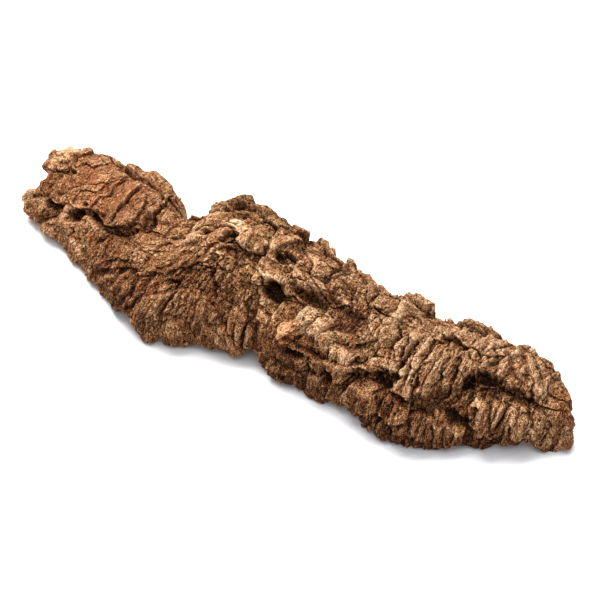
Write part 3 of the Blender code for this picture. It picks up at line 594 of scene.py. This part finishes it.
def readArch(arch, table, x, t):
    xs, ts, values = arch["xs"], arch["ts"], arch[table]
    fx = np.clip(x - xs[0], 0, len(xs) - 1.001)
    ft = np.clip(t - ts[0], 0, len(ts) - 1.001)
    i, j = fx.astype(int), ft.astype(int)
    fx, ft = (fx - i)[..., None], (ft - j)[..., None]
    low = values[i, j] * (1 - fx) + values[i + 1, j] * fx
    high = values[i, j + 1] * (1 - fx) + values[i + 1, j + 1] * fx
    return low * (1 - ft) + high * ft


def edgeReach(arch, x, side):
    return np.interp(x, arch["xs"], arch["reaches"][side])


# how far round the arch the broken front edge, side 0, or back edge, side 1, lies
def brokenEdge(arch, x, side, bites):
    reach, size, octaves = barkForm["edgeRag"]
    cut = reach * rough(x, 0, 90 + 5 * side, size, octaves) + reach
    for biteX, halfLength, depth in bites:
        floor = barkForm["biteFloor"] * halfLength
        cut = cut + depth * (1 - ramp(np.abs(x - biteX), floor, halfLength))
    whole = edgeReach(arch, x, side)
    return whole - np.sign(whole) * cut


# x of a broken end at the share v of the way round
def endX(v, outline, layer):
    vs, xs = zip(*outline)
    reach, size, octaves = barkForm["endRag"]
    return np.interp(v, vs, xs) + reach * rough(barkForm["endHalfRound"] * v, 0, layer, size, octaves)


def blur(grid, reach):
    kernel = np.exp(-np.linspace(-2, 2, 2 * reach + 1) ** 2)
    kernel /= kernel.sum()
    padded = np.pad(grid, reach, mode="edge")
    padded = np.apply_along_axis(lambda row: np.convolve(row, kernel, "valid"), 0, padded)
    return np.apply_along_axis(lambda row: np.convolve(row, kernel, "valid"), 1, padded)


# where the crust broke off lately and the pale cork under it shows
def freshBark(x, t):
    fresh = np.zeros(x.shape)
    wobble = ragged(0, x, t, barkFeatures["freshRag"])
    for *place, strength in barkFeatures["fresh"]:
        spot = 1 - ramp(spotDistance(x, t, place) + wobble, *barkFeatures["freshSide"])
        fresh = np.maximum(fresh, strength * spot)
    return fresh


barkColouring = {
    # how far round each spot the relief is averaged, in grid points, to tell crests from gaps, for the
    # painted light on the crests and the painted shade in the gaps and pits
    "crestReach": 14, "highestCrest": 2.0, "placedCrest": 0.25,
    "fineCrestReach": 3, "fineCrestRange": (-1.5, 0.5),
    # paleness of ridges and fresh breaks, and painted shade that darkens a pit for each millimetre below the
    # first
    "ridges": 0.6, "fresh": 0.5, "pits": 0.06, "pitsFrom": 1,
    # regions with plainer fibres, reddish ones and amber ones
    "plain": {"plainMiddle": 0.6, "plainFront": 0.2},
    "red": {"redPlate": 0.35, "redTip": 0.4}, "redFront": 0.1,
    "amber": {"amberFlake": 0.35, "amberChip": 0.3},
}


# outer and inner face as grids of points, columns along x and rows round t, and what colours them
def barkFaces(columns, rows):
    arch = makeArch()
    u, v = np.meshgrid(np.linspace(0, 1, columns + 1), np.linspace(-1, 1, rows + 1), indexing="ij")
    left, right = endX(v, barkForm["leftEnd"], 60), endX(v, barkForm["rightEnd"], 80)
    x = left + (right - left) * u
    front = brokenEdge(arch, x, 0, barkForm["frontBites"])
    back = brokenEdge(arch, x, 1, barkForm["backBites"])
    t = np.where(v < 0, -v * front, v * back)
    place, normal = readArch(arch, "place", x, t), readArch(arch, "normal", x, t)
    normal /= np.linalg.norm(normal, axis=-1, keepdims=True)
    form, colouring = barkForm, barkColouring
    edgeFade = (ramp(1 - np.abs(v), 0, form["edgeFade"]) * ramp(u, 0, form["endFade"])
                * ramp(1 - u, 0, form["endFade"]))
    crust, lean, plateTint, rollTint, tone = crustRelief(x, t)
    placed, drawn, pale = placedRelief(x, t)
    crustShare, placedShare = (share + (1 - share) * edgeFade
                               for share in (form["crustAtEdge"], form["placedAtEdge"]))
    crust *= crustShare * (1 - barkCrust["underRidges"] * drawn)
    lean = lean * (1 - drawn)
    fresh = freshBark(x, t)
    # the last term paints shade into the pits, darker the deeper they are
    tone = (tone + colouring["ridges"] * pale + colouring["fresh"] * fresh
            - colouring["pits"] * np.maximum(-placed - colouring["pitsFrom"], 0))
    relief = placed * placedShare + crust
    # high and deep spots level off
    highest, deepest = form["highest"], form["deepest"]
    relief = np.where(relief < 0, -deepest * np.tanh(-relief / deepest), highest * np.tanh(relief / highest))
    outer = place + normal * relief[..., None]
    toFront = np.cross(np.array([1.0, 0, 0]), normal)
    hang = barkCrust["overhang"] * (relief - barkCrust["pitOverhang"] * np.minimum(placed, 0)) * edgeFade
    outer += toFront * hang[..., None]
    outer[..., 0] -= barkCrust["lean"] * lean * edgeFade
    red = regionSum(x, t, colouring["red"]) + colouring["redFront"] * ramp(-t, *barkRegions["redFront"])
    looks = {
        "grain": np.stack([x, t, relief], -1),
        # crest and fineCrest are painted light on the crests and painted shade in the gaps and pits
        "crest": (np.minimum(relief - blur(relief, colouring["crestReach"]), colouring["highestCrest"])
                  + colouring["placedCrest"] * np.minimum(placed, 0)),
        "fineCrest": np.clip(relief - blur(relief, colouring["fineCrestReach"]),
                             *colouring["fineCrestRange"]),
        "plateTint": plateTint,
        "rollTint": rollTint,
        "tone": tone,
        "streaky": 1 - regionSum(x, t, colouring["plain"]),
        "fresh": fresh,
        "rusty": red * (1 - fresh) + regionSum(x, t, colouring["amber"]),
    }
    hollow = makeArch(form["edgeThickness"], form["thickness"])
    t = np.where(v < 0, t * edgeReach(hollow, x, 0) / edgeReach(arch, x, 0),
                 t * edgeReach(hollow, x, 1) / edgeReach(arch, x, 1))
    place, normal = readArch(hollow, "place", x, t), readArch(hollow, "normal", x, t)
    grain = ragged(ragged(0, x, t, form["hollowRag"]), x, form["hollowStretch"] * t, form["hollowGrain"])
    inner = place + normal * (grain * ramp(1 - u, 0, form["hollowEndFade"]))[..., None]
    return outer, inner, looks


def onlyActive(thing):
    bpy.ops.object.select_all(action="DESELECT")
    thing.select_set(True)
    bpy.context.view_layer.objects.active = thing


# a box cut into fine quads: its top becomes the crust, its walls the broken edge, its floor the hollow
def fineBox(columns, rows, layers):
    bpy.ops.object.select_all(action="DESELECT")
    bpy.ops.mesh.primitive_cube_add(size=1, location=(0.5, 0.5, 0.5))
    box = bpy.context.object
    bpy.ops.object.transform_apply(location=True)
    for axis, cuts in enumerate((columns, rows, layers)):
        bpy.ops.object.mode_set(mode="EDIT")
        bpy.ops.mesh.select_all(action="DESELECT")
        bpy.ops.mesh.select_mode(type="EDGE")
        bpy.ops.object.mode_set(mode="OBJECT")
        corners = box.data.vertices
        for edge in box.data.edges:
            a, b = (corners[n].co for n in edge.vertices)
            edge.select = abs(a[axis] - b[axis]) > 0.5
        bpy.ops.object.mode_set(mode="EDIT")
        bpy.ops.mesh.subdivide_edgering(number_cuts=cuts - 1, interpolation="LINEAR")
        bpy.ops.object.mode_set(mode="OBJECT")
    return box


def readPoints(mesh):
    points = np.zeros(len(mesh.vertices) * 3)
    mesh.vertices.foreach_get("co", points)
    return points.reshape(-1, 3)


# the crust's colouring fades over the broken edge to the plainer, paler hollow
def addLooks(mesh, looks, share):
    looks["grain"][:, 2] = looks["grain"][:, 2] * share - barkForm["thickness"] * (1 - share)
    looks["tone"] = looks["tone"] * share + corkLook["hollowTone"] * (1 - share)
    for name in ("crest", "fineCrest", "plateTint", "rollTint", "fresh", "rusty"):
        looks[name] = looks[name] * share
    for name, values in looks.items():
        kind, field = ("FLOAT_VECTOR", "vector") if values.ndim == 2 else ("FLOAT", "value")
        mesh.attributes.new(name, kind, "POINT").data.foreach_set(field, values.astype("f").ravel())


def makeBark():
    columns, rows, layers = barkMesh["cutsAlong"], barkMesh["cutsAcross"], barkMesh["wallCuts"]
    bark = fineBox(columns, rows, layers)
    bark.name = "corkBark"
    bark.data.name = "corkBark"
    box = readPoints(bark.data)
    i, j, k = (np.rint(box[:, axis] * cuts).astype(int) for axis, cuts in enumerate((columns, rows, layers)))
    outer, inner, looks = barkFaces(columns, rows)
    # the broken edge bulges away from the points just inside it
    steps = barkMesh["bulgeSteps"]
    inside = outer[np.clip(i, steps, columns - steps), np.clip(j, steps, rows - steps)]
    outward = outer[i, j] - inside
    outward /= np.maximum(np.linalg.norm(outward, axis=-1, keepdims=True), 1e-6)
    share = (k / layers)[:, None]
    wall = outer[i, j] * share + inner[i, j] * (1 - share)
    uneven, size, octaves = barkForm["bulgeRag"]
    bulge = (barkForm["edgeBulge"] * np.sin(math.pi * share[:, 0])
             * (1 + uneven * rough(*wall.T, size, octaves)))
    points = wall + outward * bulge[:, None]
    bark.data.vertices.foreach_set("co", (points * mm).ravel())
    addLooks(bark.data, {name: values[i, j] for name, values in looks.items()}, k / layers)
    bark.data.update()

    thin = bark.modifiers.new("Fewer faces", "DECIMATE")
    thin.ratio = barkMesh["mostTriangles"] / (2 * len(bark.data.polygons))
    onlyActive(bark)
    bpy.ops.object.modifier_apply(modifier=thin.name)

    # the lowest spots are worn flat, as on the solid, and it stands where the solid stands
    lowest = min(corner.co.z for corner in bark.data.vertices) + barkForm["edgeWear"] * mm
    bpy.ops.object.mode_set(mode="EDIT")
    bpy.ops.mesh.select_all(action="SELECT")
    bpy.ops.mesh.bisect(plane_co=(0, 0, lowest), plane_no=(0, 0, 1), use_fill=True, clear_inner=True,
                        threshold=1e-6)
    bpy.ops.object.mode_set(mode="OBJECT")
    points = readPoints(bark.data)
    middle = (points.min(0) + points.max(0)) / 2
    cadMiddle = [(a + b) / 2 for a, b in zip(*cadBox)]
    move = np.array([cadMiddle[0] - middle[0], cadMiddle[1] - middle[1], -lowest])
    bark.data.vertices.foreach_set("co", (points + move).ravel())
    bark.data.update()
    return bark, move


# an sRGB hex colour as linear red, green, blue and alpha
def linearColour(hexValue):
    channels = [int(hexValue[n:n + 2], 16) / 255 for n in (0, 2, 4)]
    return tuple(c / 12.92 if c <= 0.04045 else ((c + 0.055) / 1.055) ** 2.4 for c in channels) + (1.0,)


# Adds a node with its settings and inputs: by name, or by number as i0, i1. A socket is linked and
# anything else is set as the input's value.
def addNode(tree, kind, settings=None, **inputs):
    node = tree.nodes.new(kind)
    for name, value in (settings or {}).items():
        setattr(node, name, value)
    for name, value in inputs.items():
        numbered = name[0] == "i" and name[1:].isdigit()
        socket = node.inputs[int(name[1:]) if numbered else name.replace("_", " ")]
        if isinstance(value, bpy.types.NodeSocket):
            tree.links.new(value, socket)
        else:
            socket.default_value = value
    return node


corkLook = {
    # share of the tone range and colour, from the darkest, as in the painted shade of the gaps, to the
    # palest, as in the painted light on the crests
    "weathered": [(0.0, "201108"), (0.25, "55341e"), (0.5, "8b5f3b"), (0.75, "ad8056"), (1.0, "deb993")],
    "broken": [(0.0, "4a2410"), (0.25, "8a5428"), (0.5, "bf8a54"), (0.75, "dcb184"), (1.0, "f0d8b0")],
    # the sum of all tones that gives the first and the last of these colours
    "toneRange": (1.05, 2.98),
    "hollowTone": 0.55,
    # size in millimetres and detail of each noise
    "noises": {"patch": (22.0, 4.0), "crumb": (1.3, 2.0), "dot": (0.55, 1.0), "rust": (6.0, 3.0)},
    # fibres and flakes lie along the rolls: width, length and depth in millimetres
    "fibre": (0.5, 4.5, 0.9), "fibreDetail": 3.0, "flake": (1.5, 4.2, 0.9),
    "warp": 1.6, "warpSize": 2.6, "warpDetail": 2.0,
    # pores are the low spots of the dots, and splits run round the flakes where the crumbs are high; both
    # are painted shade where the fine relief dips
    "poreRange": (0.36, 0.44), "splitRange": (0.0, 0.10), "splitOpen": (0.42, 0.60),
    # how much each of them counts in the tone; crest and fineCrest add painted light and painted shade, pore
    # and split painted shade
    "weights": {"patch": 0.8, "crumb": 0.3, "dot": 2.6, "streak": 3.2, "flake": 0.22, "split": 0.7,
                "pore": 0.6, "plateTint": 0.25, "rollTint": 0.30, "crest": 0.12, "fineCrest": 0.60},
    # where iron-red dust colours it
    "rust": "dd8c54", "rustRange": (0.48, 0.70), "rustWeight": 0.45,
    # how much flakes, splits and dots count in the fine relief beside the fibres, and its depth
    "rises": {"flake": 0.3, "split": 0.5, "dot": 0.6}, "bumpDepth": 1.2,
    "roughness": 0.9, "refraction": 1.45, "gloss": 0.1,
}


def colourRamp(tree, share, colours):
    ramped = addNode(tree, "ShaderNodeValToRGB", Fac=share)
    stops = ramped.color_ramp.elements
    while len(stops) < len(colours):
        stops.new(0.5)
    for stop, (spot, hexValue) in zip(stops, colours):
        stop.position = spot
        stop.color = linearColour(hexValue)
    return ramped.outputs["Color"]


# Virgin cork: dry, dull, weathered brown, paler on the crests with painted light and nearly black in the
# gaps with painted shade
def corkMaterial():
    look = corkLook
    material = bpy.data.materials.new("virginCork")
    material.use_nodes = True
    tree = material.node_tree
    shader = tree.nodes["Principled BSDF"]
    shader.inputs["Roughness"].default_value = look["roughness"]
    shader.inputs["IOR"].default_value = look["refraction"]
    shader.inputs["Specular IOR Level"].default_value = look["gloss"]

    # what the mesh tells of each spot, and the noises
    values = {}
    for name in ("tone", "streaky", "plateTint", "rollTint", "crest", "fineCrest", "fresh", "rusty"):
        values[name] = addNode(tree, "ShaderNodeAttribute", {"attribute_name": name}).outputs["Fac"]
    place = addNode(tree, "ShaderNodeTexCoord").outputs["Object"]
    for name, (size, detail) in look["noises"].items():
        values[name] = addNode(tree, "ShaderNodeTexNoise", Vector=place, Scale=1 / (size * mm),
                               Detail=detail).outputs["Fac"]

    # fibres and flakes follow the grain, which is slightly warped
    grain = addNode(tree, "ShaderNodeAttribute", {"attribute_name": "grain"}).outputs["Vector"]
    warp = addNode(tree, "ShaderNodeTexNoise", Vector=grain, Scale=1 / look["warpSize"],
                   Detail=look["warpDetail"]).outputs["Color"]
    grain = addNode(tree, "ShaderNodeVectorMath", {"operation": "MULTIPLY_ADD"}, i0=warp,
                    i1=(look["warp"],) * 3, i2=grain).outputs["Vector"]
    fibres, scales = (addNode(tree, "ShaderNodeMapping", Vector=grain,
                              Scale=[1 / size for size in look[name]]).outputs["Vector"]
                      for name in ("fibre", "flake"))
    fibre = addNode(tree, "ShaderNodeTexNoise", Vector=fibres, Scale=1.0, Detail=look["fibreDetail"])
    centred = addNode(tree, "ShaderNodeMath", {"operation": "SUBTRACT"}, i0=fibre.outputs["Fac"], i1=0.5)
    values["streak"] = addNode(tree, "ShaderNodeMath", {"operation": "MULTIPLY"}, i0=centred.outputs[0],
                               i1=values["streaky"]).outputs[0]
    flake = addNode(tree, "ShaderNodeTexVoronoi", {"feature": "F1"}, Vector=scales, Scale=1.0)
    values["flake"] = addNode(tree, "ShaderNodeSeparateColor", Color=flake.outputs["Color"]).outputs[0]

    # painted shade: dark pores, and dark splits round some of the flakes, where the fine relief dips
    low, high = look["poreRange"]
    values["pore"] = addNode(tree, "ShaderNodeMapRange", Value=values["dot"], From_Min=low, From_Max=high,
                             To_Min=-1.0, To_Max=0.0).outputs["Result"]
    split = addNode(tree, "ShaderNodeTexVoronoi", {"feature": "DISTANCE_TO_EDGE"}, Vector=scales, Scale=1.0)
    low, high = look["splitRange"]
    split = addNode(tree, "ShaderNodeMapRange", Value=split.outputs["Distance"], From_Min=low, From_Max=high,
                    To_Min=-1.0, To_Max=0.0).outputs["Result"]
    low, high = look["splitOpen"]
    parted = addNode(tree, "ShaderNodeMapRange", Value=values["crumb"], From_Min=low, From_Max=high)
    values["split"] = addNode(tree, "ShaderNodeMath", {"operation": "MULTIPLY"}, i0=split,
                              i1=parted.outputs["Result"]).outputs[0]

    # the colour
    total = values["tone"]
    for name, weight in look["weights"].items():
        total = addNode(tree, "ShaderNodeMath", {"operation": "MULTIPLY_ADD"}, i0=values[name], i1=weight,
                        i2=total).outputs[0]
    low, high = look["toneRange"]
    share = addNode(tree, "ShaderNodeMapRange", Value=total, From_Min=low, From_Max=high).outputs["Result"]
    whole = addNode(tree, "ShaderNodeMix", {"data_type": "RGBA"}, i0=values["fresh"],
                    i6=colourRamp(tree, share, look["weathered"]),
                    i7=colourRamp(tree, share, look["broken"])).outputs[2]
    low, high = look["rustRange"]
    rust = addNode(tree, "ShaderNodeMapRange", Value=values["rust"], From_Min=low, From_Max=high,
                   To_Max=look["rustWeight"]).outputs["Result"]
    rust = addNode(tree, "ShaderNodeMath", {"operation": "ADD"}, i0=rust, i1=values["rusty"]).outputs[0]
    whole = addNode(tree, "ShaderNodeMix", {"data_type": "RGBA", "blend_type": "MULTIPLY"}, i0=rust,
                    i6=whole, i7=linearColour(look["rust"])).outputs[2]
    tree.links.new(whole, shader.inputs["Base Color"])

    # the fine relief
    rise = values["streak"]
    for name, height in look["rises"].items():
        rise = addNode(tree, "ShaderNodeMath", {"operation": "MULTIPLY_ADD"}, i0=values[name], i1=height,
                       i2=rise).outputs[0]
    bump = addNode(tree, "ShaderNodeBump", Height=rise, Strength=1.0, Distance=look["bumpDepth"] * mm)
    tree.links.new(bump.outputs["Normal"], shader.inputs["Normal"])
    return material


cameraView = {
    # degrees to the right and above; lens and film width in millimetres; distance and aim in metres
    "azimuth": 30, "elevation": 45,
    "lens": 85, "film": 36,
    "distance": 0.744, "aim": (0.010, 0.0, 0.017),
}


def viewDirection():
    a, e = math.radians(cameraView["azimuth"]), math.radians(cameraView["elevation"])
    return Vector((math.sin(a) * math.cos(e), -math.cos(a) * math.cos(e), math.sin(e)))


def addCamera(shift):
    data = bpy.data.cameras.new("photoCamera")
    data.lens = cameraView["lens"]
    data.sensor_width = cameraView["film"]
    camera = bpy.data.objects.new("photoCamera", data)
    back = viewDirection()
    camera.location = Vector(cameraView["aim"]) + Vector(shift) + back * cameraView["distance"]
    camera.rotation_euler = back.to_track_quat("Z", "Y").to_euler()
    bpy.context.scene.collection.objects.link(camera)
    bpy.context.scene.camera = camera


studio = {
    # direction from the object, distance and size in metres, watts
    "key": ((-0.42, 0.38, 0.95), 1.3, 1.0, 39),
    "top": ((0.1, -0.1, 1.0), 1.6, 1.6, 14),
    "front": ((0.5, -1.0, 0.5), 1.8, 1.4, 2.2),
    "worldColour": "fbfdff",
    "worldStrength": 0.40,
    "floorSize": 8,
    "floorColour": "f3f4f7",
    "floorRoughness": 0.9,
}


def addSoftbox(name):
    direction, distance, size, watts = studio[name]
    data = bpy.data.lights.new(name, "AREA")
    data.size = size
    data.energy = watts
    light = bpy.data.objects.new(name, data)
    direction = Vector(direction).normalized()
    light.location = direction * distance
    light.rotation_euler = direction.to_track_quat("Z", "Y").to_euler()
    bpy.context.scene.collection.objects.link(light)


def addStudio():
    bpy.ops.object.select_all(action="DESELECT")
    bpy.ops.mesh.primitive_plane_add(size=studio["floorSize"], location=(0, 0, 0))
    floor = bpy.context.object
    floor.name = "studioFloor"
    # plain white backdrop paper
    paper = bpy.data.materials.new("studioPaper")
    paper.use_nodes = True
    shader = paper.node_tree.nodes["Principled BSDF"]
    shader.inputs["Base Color"].default_value = linearColour(studio["floorColour"])
    shader.inputs["Roughness"].default_value = studio["floorRoughness"]
    floor.data.materials.append(paper)
    for name in ("key", "top", "front"):
        addSoftbox(name)
    world = bpy.data.worlds.new("studioWorld")
    world.use_nodes = True
    glow = world.node_tree.nodes["Background"].inputs
    glow["Color"].default_value = linearColour(studio["worldColour"])
    glow["Strength"].default_value = studio["worldStrength"]
    bpy.context.scene.world = world
    bpy.context.scene.view_settings.view_transform = "Standard"


bark, barkMove = makeBark()
bark.data.materials.append(corkMaterial())
print("bark made,", len(bark.data.polygons), "faces")
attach(bark, "root")
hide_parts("bark")
addCamera(barkMove)
addStudio()
print("studio made")
